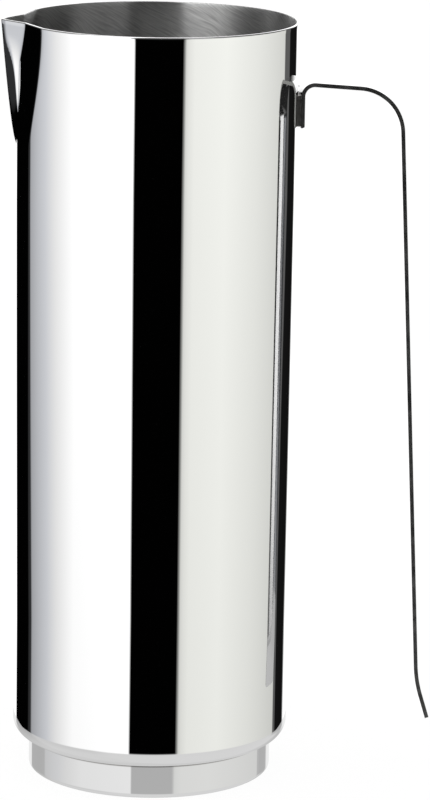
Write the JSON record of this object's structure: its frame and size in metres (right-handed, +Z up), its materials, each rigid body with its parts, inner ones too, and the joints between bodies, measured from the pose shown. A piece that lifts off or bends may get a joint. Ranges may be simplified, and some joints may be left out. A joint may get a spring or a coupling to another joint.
{
  "type": "cocktail pitcher",
  "caption": "Tall straight-sided polished steel pitcher with a pressed pouring lip, a stepped foot and a slim open strip handle, for mixing and pouring cocktails.",
  "frame": {"origin": "on the pitcher's axis, at the middle of the foot's flat underside, where it stands on the table", "axes": "+Z up along the pitcher's axis, +X towards the handle, -X towards the pouring lip, +Y away from a viewer who has the handle on the right"},
  "size_m": [0.1419, 0.09, 0.247],
  "materials": {
    "polished_steel": "mirror-polished stainless steel outside, satin inside the cup",
    "strip_steel": "polished stainless strip with plain cut edges",
    "weld_metal": "bare weld metal, cleaned"
  },
  "bodies": {
    "root": {"body_shell": "polished_steel", "foot_cap": "polished_steel", "foot_seam": "weld_metal", "handle_strap": "strip_steel", "handle_weld": "weld_metal"}
  },
  "joints": []
}
